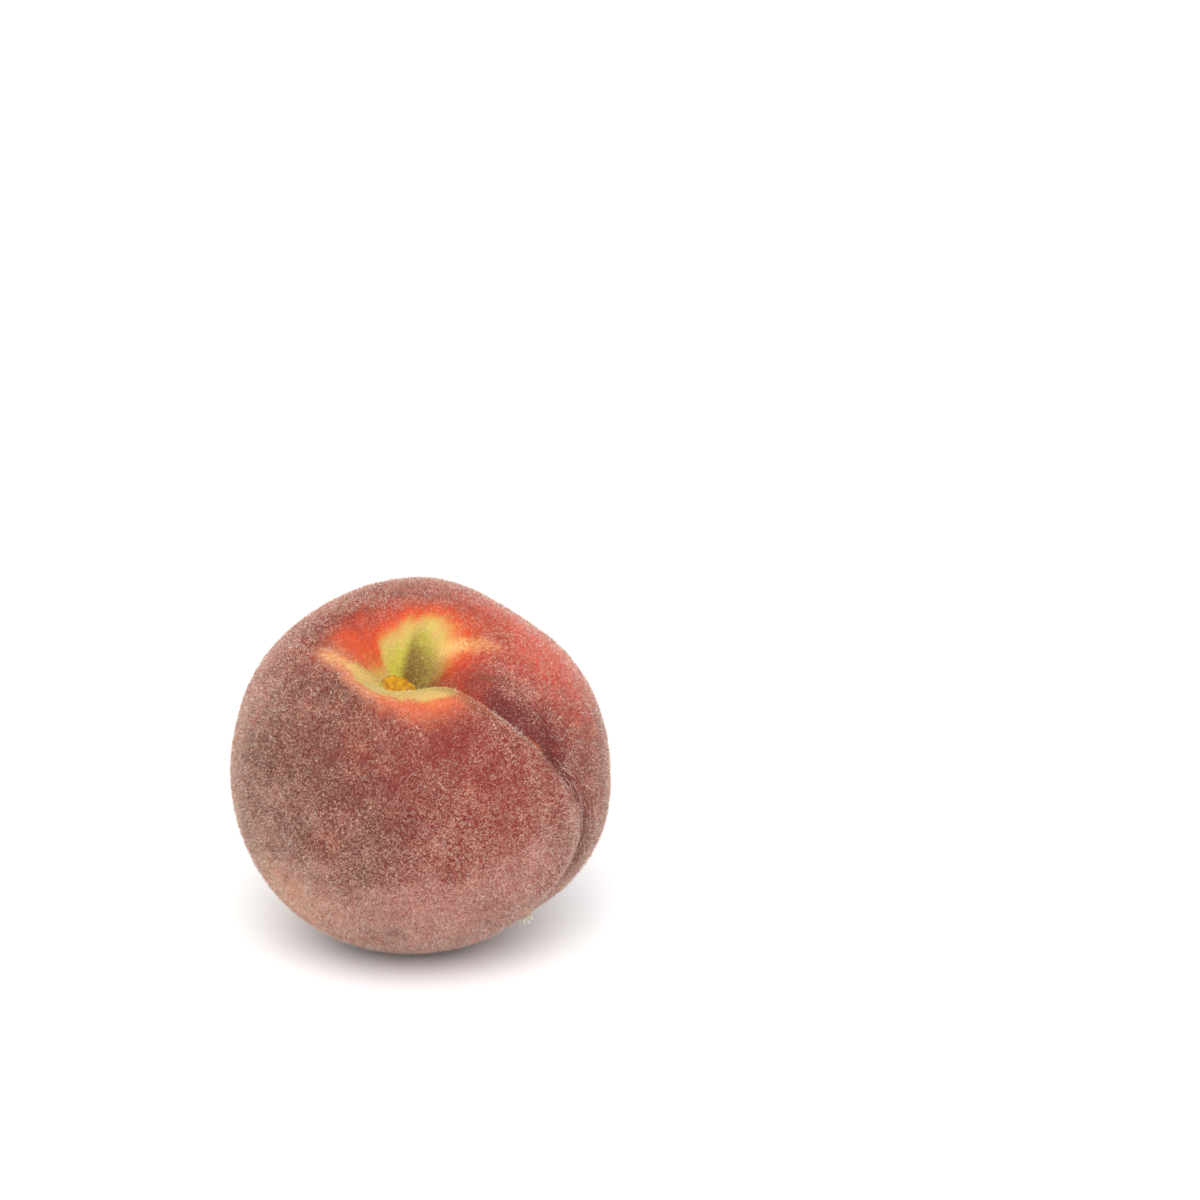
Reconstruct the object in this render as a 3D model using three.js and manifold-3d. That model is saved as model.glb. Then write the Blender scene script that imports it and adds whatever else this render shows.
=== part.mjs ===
// A whole ripe peach, with its stem cavity, stem scar, suture and blossom tip.
//
// The fruit grew as one piece, so it is one closed body. Its skin is a sphere of directions
// pushed in and out along each direction by a few plain features. Units are millimetres, +Z is
// up, and the fruit rests on a small flat spot under its weight, with its stem end leaning
// towards -Y. The origin is on that surface, below the middle of the fruit.

import * as THREE from "three";
import { mergeVertices } from "three/addons/utils/BufferGeometryUtils.js";
import Module from "manifold-3d";

const DEG = Math.PI / 180;

// ---- Driving dimensions ---------------------------------------------------------------------

const BODY_RADIUS = 35.5; // mean radius of the flesh: a peach about 72 mm across
const REST_DEPTH = 0.5; // height of the round cap that is flattened where the fruit rests

// How the fruit lies, in degrees.
const STEM_LEAN = 33.5; // stem axis from upright
const STEM_HEADING = -12.6; // where it leans: 0 is -Y, positive turns towards +X
const SUTURE_TURN = 19.6; // how far the suture side dips below level

// Uneven growth. Each entry is a soft rise (or a flat, where rise is negative) round one
// direction: heading from +X towards +Y, height above level and reach in degrees, rise in mm.
const SWELLS = [
  { heading: 29, height: 53, reach: 20, rise: -1.8 },
  { heading: -8, height: -21, reach: 26, rise: 1.8 },
  { heading: -171, height: -55, reach: 34, rise: 1.5 },
  { heading: 147, height: 56, reach: 26, rise: -0.7 },
  { heading: 176, height: 11, reach: 16, rise: -0.4 },
  { heading: 26, height: -80, reach: 22, rise: 0.9 },
  { heading: 5, height: 13, reach: 14, rise: 0.3 },
];

// The shoulders sink gently towards the stem.
const SHOULDER = { drop: 1.5, reach: 30 }; // mm, degrees

// Stem cavity: a funnel round the stem scar, steep under the near lip, open on the far side.
const CAVITY = {
  depth: 10.2,
  scarRadius: 3.1,
  toSuture: 15, // rim distance from the stem axis on each side
  toBack: 15.5,
  toFarCheek: 17,
  toNearCheek: 9.6,
  flare: 1.8, // power of the trumpet-shaped wall
};

// The stem scar is a shallow button with a rim.
const SCAR = { dome: 0.45, rim: 0.35, rimWidth: 0.7 };

// Suture: a crease from the cavity to the blossom tip. The near cheek stands over it.
const SUTURE = {
  depth: 6.6, // where it leaves the cavity
  length: 25.5, // over which it fades to the shallow seam
  seam: 0.5, // depth of the shallow seam that goes on to the tip
  sideStep: 2.4, // the crease runs this far towards the far cheek
  farWidth: 14,
  farWidthEnd: 8,
  farFade: 34,
  nearWidth: 4.6,
  nearWidthEnd: 2.8,
  nearFade: 18,
  lowWidening: 1.8, // the near side is gentler again towards the tip
};
const CREASE_SHARPNESS = 1.15; // 1 is a sharp fold, 2 is round

// The near cheek's lip along the crease.
const LIP = { rise: 0.9, setBack: 0.5, width: 3.5, middle: 22, length: 18 };

// A short furrow on the other side of the stem, in line with the suture.
const FURROW = {
  depth: 4,
  length: 15,
  sideStep: 0.3,
  farWidth: 13,
  nearWidth: 3.6,
  nearWidthEnd: 8,
  nearFade: 12,
};

// Blossom tip: a small point in a shallow dimple, where the suture ends.
const TIP = {
  along: 121, // degrees from the stem along the suture plane
  aside: -20, // degrees off that plane, towards the near cheek
  bendFrom: 84, // the suture starts to bend towards the tip here
  bendTo: 172, // and is back on the plane here
  dimple: 0.8,
  dimpleWidth: 6,
  point: 1,
  pointWidth: 1.5,
};

// Skin grid: columns run round the suture plane, rows from cheek to cheek.
const COLUMNS = 84;
const ROWS = 48;
const COLUMN_CROWDING = 0.5; // closer columns near the stem
const ROW_CROWDING = 0.7; // closer rows near the crease

const SKIN = { color: "#a15a4f", roughness: 0.92, metalness: 0 };

// ---- Small helpers --------------------------------------------------------------------------

function smoothstep(from, to, x) {
  const t = Math.min(Math.max((x - from) / (to - from), 0), 1);
  return t * t * (3 - 2 * t);
}

function bell(x, width) {
  return Math.exp(-((x / width) ** 2));
}

function fade(x, start, end, length) {
  return end + (start - end) * bell(x, length);
}

function angleBetween(a, b) {
  return Math.acos(THREE.MathUtils.clamp(a.dot(b), -1, 1));
}

function headingToVector(heading, height) {
  const level = Math.cos(height * DEG);
  const x = level * Math.cos(heading * DEG);
  const y = level * Math.sin(heading * DEG);
  return new THREE.Vector3(x, y, Math.sin(height * DEG));
}

// ---- The fruit's own axes -------------------------------------------------------------------

// toStem runs from the middle to the stem, toSuture to the side with the crease, and
// toFarCheek is square to both.
function fruitAxes() {
  const up = new THREE.Vector3(0, 0, 1);
  const leanWay = headingToVector(STEM_HEADING - 90, 0);
  const level = headingToVector(STEM_HEADING, 0);
  const lean = STEM_LEAN * DEG;
  const toStem = new THREE.Vector3()
    .addScaledVector(leanWay, Math.sin(lean))
    .addScaledVector(up, Math.cos(lean));
  const rising = new THREE.Vector3()
    .addScaledVector(leanWay, -Math.cos(lean))
    .addScaledVector(up, Math.sin(lean));
  const toSuture = new THREE.Vector3()
    .addScaledVector(level, Math.cos(SUTURE_TURN * DEG))
    .addScaledVector(rising, -Math.sin(SUTURE_TURN * DEG));
  const toFarCheek = new THREE.Vector3().crossVectors(toStem, toSuture);
  return { toStem, toSuture, toFarCheek };
}

const AXES = fruitAxes();

// Direction at an angle along the suture plane (0 is the stem, positive is the suture side)
// and an angle off it (positive is the far cheek). Both are in radians.
function fruitDirection(along, aside) {
  return new THREE.Vector3()
    .addScaledVector(AXES.toSuture, Math.cos(aside) * Math.sin(along))
    .addScaledVector(AXES.toStem, Math.cos(aside) * Math.cos(along))
    .addScaledVector(AXES.toFarCheek, Math.sin(aside));
}

// How far off the suture plane the crease runs, as an angle in radians.
function creaseAside(along) {
  const distance = along * BODY_RADIUS;
  const suture = (SUTURE.sideStep / BODY_RADIUS)
    * smoothstep(3, 16, distance)
    * (1 - smoothstep(80 * DEG, 105 * DEG, along));
  const furrow = (FURROW.sideStep / BODY_RADIUS)
    * smoothstep(3, 12, -distance)
    * (1 - smoothstep(15, 30, -distance));
  const bend = TIP.aside * DEG
    * smoothstep(TIP.bendFrom * DEG, (TIP.along + 4) * DEG, along)
    * (1 - smoothstep((TIP.along + 8) * DEG, TIP.bendTo * DEG, along));
  return suture - furrow + bend;
}

// ---- The features, each as a depth or a height in mm ----------------------------------------

function swellRise(direction) {
  return SWELLS.reduce((sum, swell) => {
    const middle = headingToVector(swell.heading, swell.height);
    return sum + swell.rise * bell(angleBetween(direction, middle), swell.reach * DEG);
  }, 0);
}

function cavityDepth(fromStem, round, sutureSide, farSide) {
  const { scarRadius, depth, flare } = CAVITY;
  const rimAlong = sutureSide ? CAVITY.toSuture : CAVITY.toBack;
  const rimAcross = farSide ? CAVITY.toFarCheek : CAVITY.toNearCheek;
  const rim = 1 / Math.hypot(Math.cos(round) / rimAlong, Math.sin(round) / rimAcross);
  const t = THREE.MathUtils.clamp((fromStem - scarRadius) / (rim - scarRadius), 0, 1);
  return depth * (1 - t) ** flare;
}

// Cross-section of a crease: 1 at its bottom, 0 beyond its width on either side.
function creaseProfile(across, nearWidth, farWidth) {
  const width = across < 0 ? nearWidth : farWidth;
  const t = Math.min(Math.abs(across) / width, 1);
  return (1 - t ** CREASE_SHARPNESS) ** 2;
}

function sutureNearWidth(distance) {
  const upper = fade(distance, SUTURE.nearWidth, SUTURE.nearWidthEnd, SUTURE.nearFade);
  return upper + SUTURE.lowWidening * smoothstep(38, 56, distance);
}

function sutureDepth(distance, across) {
  const deep = SUTURE.depth * smoothstep(1, 10, distance) * bell(distance, SUTURE.length);
  const tipDistance = TIP.along * DEG * BODY_RADIUS;
  const seam = SUTURE.seam
    * smoothstep(10, 30, distance)
    * (1 - smoothstep(tipDistance - 5, tipDistance + 2, distance));
  const farWidth = fade(distance, SUTURE.farWidth, SUTURE.farWidthEnd, SUTURE.farFade);
  return (deep + seam) * creaseProfile(across, sutureNearWidth(distance), farWidth);
}

function furrowDepth(distance, across) {
  const deep = FURROW.depth * smoothstep(1, 8, -distance) * bell(distance, FURROW.length);
  const nearWidth = fade(distance, FURROW.nearWidth, FURROW.nearWidthEnd, FURROW.nearFade);
  return deep * creaseProfile(across, nearWidth, FURROW.farWidth);
}

function lipRise(distance, across) {
  const crest = -(sutureNearWidth(distance) + LIP.setBack);
  return LIP.rise * bell(across - crest, LIP.width) * bell(distance - LIP.middle, LIP.length);
}

function scarRise(fromStem) {
  const inside = Math.min(fromStem / CAVITY.scarRadius, 1);
  const dome = SCAR.dome * (1 - inside ** 2);
  return dome + SCAR.rim * bell(fromStem - CAVITY.scarRadius, SCAR.rimWidth);
}

function tipRise(direction) {
  const middle = fruitDirection(TIP.along * DEG, TIP.aside * DEG);
  const fromTip = BODY_RADIUS * angleBetween(direction, middle);
  return TIP.point * bell(fromTip, TIP.pointWidth) - TIP.dimple * bell(fromTip, TIP.dimpleWidth);
}

// Distance from the middle of the fruit to its skin in one direction.
function skinRadius(direction) {
  const toSuture = direction.dot(AXES.toSuture);
  const toFarCheek = direction.dot(AXES.toFarCheek);
  const toStem = direction.dot(AXES.toStem);
  const stemAngle = angleBetween(direction, AXES.toStem);
  const fromStem = BODY_RADIUS * stemAngle;
  const round = Math.atan2(toFarCheek, toSuture);
  const along = Math.atan2(toSuture, toStem);
  const aside = Math.asin(THREE.MathUtils.clamp(toFarCheek, -1, 1));
  const distance = BODY_RADIUS * along;
  const across = BODY_RADIUS * (aside - creaseAside(along));
  return BODY_RADIUS
    + swellRise(direction)
    - SHOULDER.drop * bell(stemAngle, SHOULDER.reach * DEG)
    - cavityDepth(fromStem, round, toSuture > 0, toFarCheek > 0)
    - sutureDepth(distance, across)
    - furrowDepth(distance, across)
    + lipRise(distance, across)
    + scarRise(fromStem)
    + tipRise(direction);
}

// ---- The body -------------------------------------------------------------------------------

// Moves grid lines closer together round zero, over the range from -PI to PI.
function crowdColumns(angle) {
  return angle - COLUMN_CROWDING * Math.sin(angle);
}

// The same for rows, over the range from -PI / 2 to PI / 2.
function crowdRows(angle) {
  const t = angle / (Math.PI / 2);
  return (Math.PI / 2) * ((1 - ROW_CROWDING) * t + ROW_CROWDING * t * Math.abs(t));
}

// A sphere whose poles are on the two cheeks, so that one of its rows follows the crease.
function skinGeometry() {
  const geometry = new THREE.SphereGeometry(1, COLUMNS, ROWS);
  const position = geometry.attributes.position;
  const point = new THREE.Vector3();
  for (let i = 0; i < position.count; i += 1) {
    point.fromBufferAttribute(position, i).normalize();
    const along = crowdColumns(Math.atan2(point.x, point.z));
    const level = crowdRows(Math.asin(THREE.MathUtils.clamp(point.y, -1, 1)));
    const aside = level + creaseAside(along) * Math.cos(level) ** 2;
    const direction = fruitDirection(along, aside);
    direction.multiplyScalar(skinRadius(direction));
    position.setXYZ(i, direction.x, direction.y, direction.z);
  }
  geometry.deleteAttribute("normal");
  geometry.deleteAttribute("uv");
  return mergeVertices(geometry, 1e-4);
}

const wasm = await Module();
wasm.setup();

function toSolid(geometry) {
  const mesh = new wasm.Mesh({
    numProp: 3,
    vertProperties: new Float32Array(geometry.attributes.position.array),
    triVerts: new Uint32Array(geometry.index.array),
  });
  return new wasm.Manifold(mesh);
}

function toGeometry(solid) {
  const mesh = solid.getMesh();
  const geometry = new THREE.BufferGeometry();
  geometry.setAttribute("position", new THREE.BufferAttribute(mesh.vertProperties, 3));
  geometry.setIndex(new THREE.BufferAttribute(mesh.triVerts, 1));
  geometry.computeVertexNormals();
  return geometry;
}

// Flattens the lowest cap of the skin, where the fruit's weight has pressed it.
function flattenBase(skin) {
  skin.computeBoundingBox();
  const size = 4 * BODY_RADIUS;
  const above = new THREE.BoxGeometry(size, size, size);
  above.translate(0, 0, skin.boundingBox.min.z + REST_DEPTH + size / 2);
  above.deleteAttribute("normal");
  above.deleteAttribute("uv");
  return toGeometry(toSolid(skin).intersect(toSolid(mergeVertices(above))));
}

// Puts the origin on the resting surface, below the middle of the fruit.
function centreOnBase(geometry) {
  geometry.computeBoundingBox();
  const { min, max } = geometry.boundingBox;
  return geometry.translate(-(min.x + max.x) / 2, -(min.y + max.y) / 2, -min.z);
}

function makePeach() {
  const geometry = centreOnBase(flattenBase(skinGeometry()));
  const mesh = new THREE.Mesh(geometry, new THREE.MeshStandardMaterial(SKIN));
  mesh.name = "peach";
  return mesh;
}

const model = new THREE.Group();
model.add(makePeach());

export default model;
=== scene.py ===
"""A whole ripe peach: downy skin with a blush, stem cavity and scar, suture, blossom tip.

The form repeats the solid's own formula on a finer grid, in millimetres, and is put in place by
the solid's box. The down is real geometry: short tapering hairs that grow from the skin.
"""

import math

import bpy
import numpy as np
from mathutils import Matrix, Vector


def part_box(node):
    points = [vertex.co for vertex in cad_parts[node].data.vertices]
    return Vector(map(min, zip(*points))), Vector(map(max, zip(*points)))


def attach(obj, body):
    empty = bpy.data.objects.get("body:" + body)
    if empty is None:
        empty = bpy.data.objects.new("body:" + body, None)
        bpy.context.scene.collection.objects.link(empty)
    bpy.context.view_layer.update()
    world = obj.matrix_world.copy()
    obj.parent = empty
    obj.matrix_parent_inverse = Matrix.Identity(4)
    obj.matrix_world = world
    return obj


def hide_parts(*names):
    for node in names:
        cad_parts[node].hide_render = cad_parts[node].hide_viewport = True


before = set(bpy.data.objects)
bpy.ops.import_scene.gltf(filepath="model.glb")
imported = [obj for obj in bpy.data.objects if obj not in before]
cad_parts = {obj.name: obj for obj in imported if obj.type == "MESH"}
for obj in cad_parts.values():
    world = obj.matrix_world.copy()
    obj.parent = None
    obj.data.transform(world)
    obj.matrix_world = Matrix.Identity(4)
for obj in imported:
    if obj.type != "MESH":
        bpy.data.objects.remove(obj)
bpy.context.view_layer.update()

MM = 0.001
DEG = math.pi / 180


# ---- The form: the same driving dimensions as the solid, in mm and degrees -------------------

BODY_RADIUS = 35.5
REST_DEPTH = 0.5
STEM_LEAN = 33.5
STEM_HEADING = -12.6
SUTURE_TURN = 19.6

# Heading, height above level and reach in degrees, then the rise.
SWELLS = (
    (29, 53, 20, -1.8),
    (-8, -21, 26, 1.8),
    (-171, -55, 34, 1.5),
    (147, 56, 26, -0.7),
    (176, 11, 16, -0.4),
    (26, -80, 22, 0.9),
    (5, 13, 14, 0.3),
)
SHOULDER_DROP, SHOULDER_REACH = 1.5, 30

CAVITY_DEPTH = 10.2
CAVITY_FLARE = 1.8
SCAR_RADIUS = 3.1
RIM_SUTURE, RIM_BACK, RIM_FAR, RIM_NEAR = 15, 15.5, 17, 9.6
SCAR_DOME, SCAR_RIM, SCAR_RIM_WIDTH = 0.45, 0.35, 0.7

CREASE_SHARPNESS = 1.15
SUTURE_DEPTH, SUTURE_LENGTH, SUTURE_SEAM, SUTURE_STEP = 6.6, 25.5, 0.5, 2.4
SUTURE_STARTS, SUTURE_SEAM_STARTS, SUTURE_SEAM_ENDS = (1, 10), (10, 30), (-5, 2)
SUTURE_STEP_STARTS, SUTURE_STEP_ENDS = (3, 16), (80 * DEG, 105 * DEG)
SUTURE_FAR = (14, 8, 34)
SUTURE_NEAR, SUTURE_LOW_WIDENING, SUTURE_WIDENS = (4.6, 2.8, 18), 1.8, (38, 56)
LIP_RISE, LIP_SET_BACK, LIP_WIDTH, LIP_MIDDLE, LIP_LENGTH = 0.9, 0.5, 3.5, 22, 18
FURROW_DEPTH, FURROW_LENGTH, FURROW_STEP, FURROW_FAR = 4, 15, 0.3, 13
FURROW_NEAR = (3.6, 8, 12)
FURROW_STARTS, FURROW_STEP_STARTS, FURROW_STEP_ENDS = (1, 8), (3, 12), (15, 30)

TIP_ALONG, TIP_ASIDE, TIP_BEND_FROM, TIP_BEND_TO = 121, -20, 84, 172
TIP_BEND_KEEPS = (4, 8)  # past the tip, the bend is whole from the first to the second
TIP_DIMPLE, TIP_DIMPLE_WIDTH, TIP_POINT, TIP_POINT_WIDTH = 0.8, 6, 1, 1.5


def smoothstep(start, end, x):
    t = np.clip((x - start) / (end - start), 0, 1)
    return t * t * (3 - 2 * t)


def bell(x, width):
    return np.exp(-((x / width) ** 2))


def fade(x, ends):
    start, end, length = ends
    return end + (start - end) * bell(x, length)


def unit(vectors):
    return vectors / np.linalg.norm(vectors, axis=-1, keepdims=True)


def heading_vector(heading, height):
    level = math.cos(height * DEG)
    x = level * math.cos(heading * DEG)
    y = level * math.sin(heading * DEG)
    return np.array([x, y, math.sin(height * DEG)])


def fruit_axes():
    """To the suture side, to the stem, and to the far cheek."""
    up = np.array([0.0, 0.0, 1.0])
    lean_way = heading_vector(STEM_HEADING - 90, 0)
    level = heading_vector(STEM_HEADING, 0)
    lean, turn = STEM_LEAN * DEG, SUTURE_TURN * DEG
    to_stem = math.sin(lean) * lean_way + math.cos(lean) * up
    rising = math.sin(lean) * up - math.cos(lean) * lean_way
    to_suture = math.cos(turn) * level - math.sin(turn) * rising
    return to_suture, to_stem, np.cross(to_stem, to_suture)


TO_SUTURE, TO_STEM, TO_FAR = fruit_axes()


def fruit_direction(along, aside):
    along, aside = np.asarray(along)[..., None], np.asarray(aside)[..., None]
    level = np.sin(along) * TO_SUTURE + np.cos(along) * TO_STEM
    return np.cos(aside) * level + np.sin(aside) * TO_FAR


TIP_WAY = fruit_direction(TIP_ALONG * DEG, TIP_ASIDE * DEG)


def angle_to(directions, way):
    return np.arccos(np.clip(directions @ way, -1, 1))


def crease_aside(along):
    """How far the middle of the suture and of the furrow lies to the far side, as an angle."""
    distance = along * BODY_RADIUS
    suture = SUTURE_STEP / BODY_RADIUS * smoothstep(*SUTURE_STEP_STARTS, distance)
    suture = suture * (1 - smoothstep(*SUTURE_STEP_ENDS, along))
    furrow = FURROW_STEP / BODY_RADIUS * smoothstep(*FURROW_STEP_STARTS, -distance)
    furrow = furrow * (1 - smoothstep(*FURROW_STEP_ENDS, -distance))
    whole_from, whole_to = (TIP_ALONG + past for past in TIP_BEND_KEEPS)
    bend = TIP_ASIDE * DEG * smoothstep(TIP_BEND_FROM * DEG, whole_from * DEG, along)
    bend = bend * (1 - smoothstep(whole_to * DEG, TIP_BEND_TO * DEG, along))
    return suture - furrow + bend


class Place:
    """Where directions lie on the fruit: distances over the skin in mm, angles in radians."""

    def __init__(self, directions):
        to_suture, to_stem = directions @ TO_SUTURE, directions @ TO_STEM
        to_far = directions @ TO_FAR
        self.way = directions
        self.suture_side = to_suture > 0
        self.far_side = to_far > 0
        self.stem_angle = angle_to(directions, TO_STEM)
        self.from_stem = BODY_RADIUS * self.stem_angle
        self.from_tip = BODY_RADIUS * angle_to(directions, TIP_WAY)
        self.round = np.arctan2(to_far, to_suture)
        self.along = np.arctan2(to_suture, to_stem)
        self.distance = BODY_RADIUS * self.along
        aside = np.arcsin(np.clip(to_far, -1, 1))
        self.across = BODY_RADIUS * (aside - crease_aside(self.along))


def over_spots(p, spots):
    """The sum of soft round spots, each with its heading, height, reach and amount."""
    total = 0
    for heading, height, reach, amount in spots:
        middle = heading_vector(heading, height)
        total = total + amount * bell(angle_to(p.way, middle), reach * DEG)
    return total


def cavity_depth(p):
    along = np.where(p.suture_side, RIM_SUTURE, RIM_BACK)
    across = np.where(p.far_side, RIM_FAR, RIM_NEAR)
    rim = 1 / np.hypot(np.cos(p.round) / along, np.sin(p.round) / across)
    t = np.clip((p.from_stem - SCAR_RADIUS) / (rim - SCAR_RADIUS), 0, 1)
    return CAVITY_DEPTH * (1 - t) ** CAVITY_FLARE


def crease_profile(across, near_width, far_width):
    width = np.where(across < 0, near_width, far_width)
    t = np.minimum(np.abs(across) / width, 1)
    return (1 - t**CREASE_SHARPNESS) ** 2


def suture_near_width(distance):
    widening = SUTURE_LOW_WIDENING * smoothstep(*SUTURE_WIDENS, distance)
    return fade(distance, SUTURE_NEAR) + widening


def suture_depth(p):
    deep = SUTURE_DEPTH * smoothstep(*SUTURE_STARTS, p.distance)
    deep = deep * bell(p.distance, SUTURE_LENGTH)
    tip_distance = TIP_ALONG * DEG * BODY_RADIUS
    seam_ends = (tip_distance + past for past in SUTURE_SEAM_ENDS)
    seam = SUTURE_SEAM * smoothstep(*SUTURE_SEAM_STARTS, p.distance)
    seam = seam * (1 - smoothstep(*seam_ends, p.distance))
    near, far = suture_near_width(p.distance), fade(p.distance, SUTURE_FAR)
    return (deep + seam) * crease_profile(p.across, near, far)


def furrow_depth(p):
    deep = FURROW_DEPTH * smoothstep(*FURROW_STARTS, -p.distance)
    deep = deep * bell(p.distance, FURROW_LENGTH)
    return deep * crease_profile(p.across, fade(p.distance, FURROW_NEAR), FURROW_FAR)


def lip_rise(p):
    crest = -(suture_near_width(p.distance) + LIP_SET_BACK)
    rise = LIP_RISE * bell(p.across - crest, LIP_WIDTH)
    return rise * bell(p.distance - LIP_MIDDLE, LIP_LENGTH)


def scar_rise(p):
    inside = np.minimum(p.from_stem / SCAR_RADIUS, 1)
    rim = SCAR_RIM * bell(p.from_stem - SCAR_RADIUS, SCAR_RIM_WIDTH)
    return SCAR_DOME * (1 - inside**2) + rim


def tip_rise(p):
    point = TIP_POINT * bell(p.from_tip, TIP_POINT_WIDTH)
    return point - TIP_DIMPLE * bell(p.from_tip, TIP_DIMPLE_WIDTH)


def skin_radius(p):
    return (
        BODY_RADIUS
        + over_spots(p, SWELLS)
        - SHOULDER_DROP * bell(p.stem_angle, SHOULDER_REACH * DEG)
        - cavity_depth(p)
        - suture_depth(p)
        - furrow_depth(p)
        + lip_rise(p)
        + scar_rise(p)
        + tip_rise(p)
    )


# ---- Meshes ----------------------------------------------------------------------------------


def make_object(name, points, triangles, material, values=None):
    """A smooth mesh piece from points in mm, with named values or vectors at its points."""
    mesh = bpy.data.meshes.new(name)
    mesh.vertices.add(len(points))
    mesh.vertices.foreach_set("co", (points * MM).astype(np.float32).ravel())
    mesh.loops.add(triangles.size)
    mesh.loops.foreach_set("vertex_index", triangles.astype(np.int32).ravel())
    mesh.polygons.add(len(triangles))
    mesh.polygons.foreach_set("loop_start", np.arange(0, triangles.size, 3, dtype=np.int32))
    for key, numbers in (values or {}).items():
        numbers = np.asarray(numbers, np.float32)
        if numbers.ndim == 2:
            layer = mesh.attributes.new(key, "FLOAT_VECTOR", "POINT")
            layer.data.foreach_set("vector", numbers.ravel())
        else:
            layer = mesh.attributes.new(key, "FLOAT", "POINT")
            layer.data.foreach_set("value", numbers)
    mesh.update(calc_edges=True)
    mesh.shade_smooth()
    mesh.materials.append(material)
    piece = bpy.data.objects.new(name, mesh)
    bpy.context.scene.collection.objects.link(piece)
    return piece


def point_normals(points, triangles):
    a, b, c = (points[triangles[:, k]] for k in range(3))
    face = np.cross(b - a, c - a)
    total = np.zeros_like(points)
    for k in range(3):
        np.add.at(total, triangles[:, k], face)
    return unit(total)


COLUMNS, ROWS = 300, 200
COLUMN_CROWDING, ROW_CROWDING = 0.5, 0.72


def skin_grid():
    """Directions and triangles of a sphere whose poles are on the cheeks."""
    even = np.linspace(-math.pi, math.pi, COLUMNS, endpoint=False)
    along = even - COLUMN_CROWDING * np.sin(even)
    t = np.linspace(-1, 1, ROWS + 2)[1:-1]
    level = math.pi / 2 * ((1 - ROW_CROWDING) * t + ROW_CROWDING * t * np.abs(t))
    level, along = np.meshgrid(level, along, indexing="ij")
    aside = level + crease_aside(along) * np.cos(level) ** 2
    ways = fruit_direction(along, aside).reshape(-1, 3)
    ways = np.vstack([ways, -TO_FAR, TO_FAR])
    index = np.arange(ROWS * COLUMNS).reshape(ROWS, COLUMNS)
    a, b = index[:-1], index[1:]
    a_next, b_next = np.roll(a, -1, 1), np.roll(b, -1, 1)
    near, far = ROWS * COLUMNS, ROWS * COLUMNS + 1
    ring, last = index[0], index[-1]
    caps = [
        np.stack([np.full(COLUMNS, near), np.roll(ring, -1), ring], -1),
        np.stack([np.full(COLUMNS, far), last, np.roll(last, -1)], -1),
    ]
    strips = [np.stack([a, a_next, b_next], -1), np.stack([a, b_next, b], -1)]
    triangles = np.vstack([s.reshape(-1, 3) for s in strips] + caps)
    return ways, triangles


# ---- Where the colours lie -------------------------------------------------------------------


def waves(points, seed, size, count=9):
    """A smooth random field from -1 to 1 or so, with features of about this size in mm."""
    rng = np.random.default_rng(seed)
    ways = unit(rng.normal(size=(count, 3)))
    rates = 2 * math.pi / size * rng.uniform(0.6, 1.3, count)
    shifts = rng.uniform(0, 2 * math.pi, count)
    return np.sin(points @ (ways * rates[:, None]).T + shifts).sum(1) / math.sqrt(count)


def turn_from(angle, degrees):
    """Signed difference from a bearing round the stem, in degrees."""
    return (angle / DEG - degrees + 180) % 360 - 180


# Round the stem: bearing in degrees, then how far from the stem, in mm, the green and cream
# ground colour ends, orange is purest, red takes over and the blush takes over.
STEM_BANDS = (
    (-165, 9, 10.4, 13.2, 17.5),
    (-135, 7.7, 8.4, 9.5, 11.5),
    (-100, 6.9, 7.6, 8.6, 10.6),
    (-65, 7.6, 8.6, 10.6, 14.8),
    (-42, 9.0, 10.6, 13.8, 18.4),
    (-22, 11.8, 13.0, 17.2, 21.5),
    (-4, 14.4, 15.4, 18.5, 23),
    (18, 8, 10, 13, 20),
    (38, 10.2, 12.8, 16.2, 24),
    (60, 12.3, 14.5, 19, 27),
    (78, 13.6, 15.2, 18.3, 21.5),
    (100, 11.3, 13, 15.5, 18.5),
    (125, 9.2, 10.4, 12.4, 17.5),
    (141, 9, 10, 12, 17.6),
    (153, 5.6, 7, 12.8, 18.6),
    (175, 6.2, 8.4, 15, 19),
)


GROUND_BAND = 3  # mm inwards from the ground colour's edge to -1


def around(bearing, rows, column):
    """One column of a table at each bearing, eased from row to row and round to the first."""
    first, last = rows[0], rows[-1]
    bearings = [last[0] - 360] + [row[0] for row in rows] + [first[0] + 360]
    amounts = np.array([last[column]] + [row[column] for row in rows] + [first[column]])
    place_in = np.interp(bearing, bearings, np.arange(len(bearings)))
    row = np.minimum(place_in.astype(int), len(bearings) - 2)
    part = smoothstep(0, 1, place_in - row)
    return amounts[row] * (1 - part) + amounts[row + 1] * part


def stem_band(p):
    """0 where the ground colour round the stem ends, 1 at the orange, 2 red, 3 up the blush."""
    ground, orange, red, blush = (around(p.round / DEG, STEM_BANDS, k) for k in (1, 2, 3, 4))
    inside = np.minimum(p.from_stem - ground, 0) / GROUND_BAND
    to_orange = np.clip((p.from_stem - ground) / (orange - ground), 0, 1)
    to_red = np.clip((p.from_stem - orange) / (red - orange), 0, 1)
    return inside + to_orange + to_red + np.maximum(p.from_stem - red, 0) / (blush - red)


NEAR_WALL_ENDS = (-1, 1.5)
# An olive-brown wedge in the cavity, whose wide fade and weaker right part are painted shade.
WEDGE_SLOPE, WEDGE_LEFT, WEDGE_END = (0.42, 0.88), (-2.2, 0.4), (6, 12)
WEDGE_NEAR, WEDGE_RIGHT, WEDGE_RIGHT_PALER = (-3, 0), (4, 10), 0.2


def sides_of_stem(p):
    """How far a place lies to the suture side and to the far side of the stem, in mm."""
    return p.from_stem * np.cos(p.round), p.from_stem * np.sin(p.round)


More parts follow.
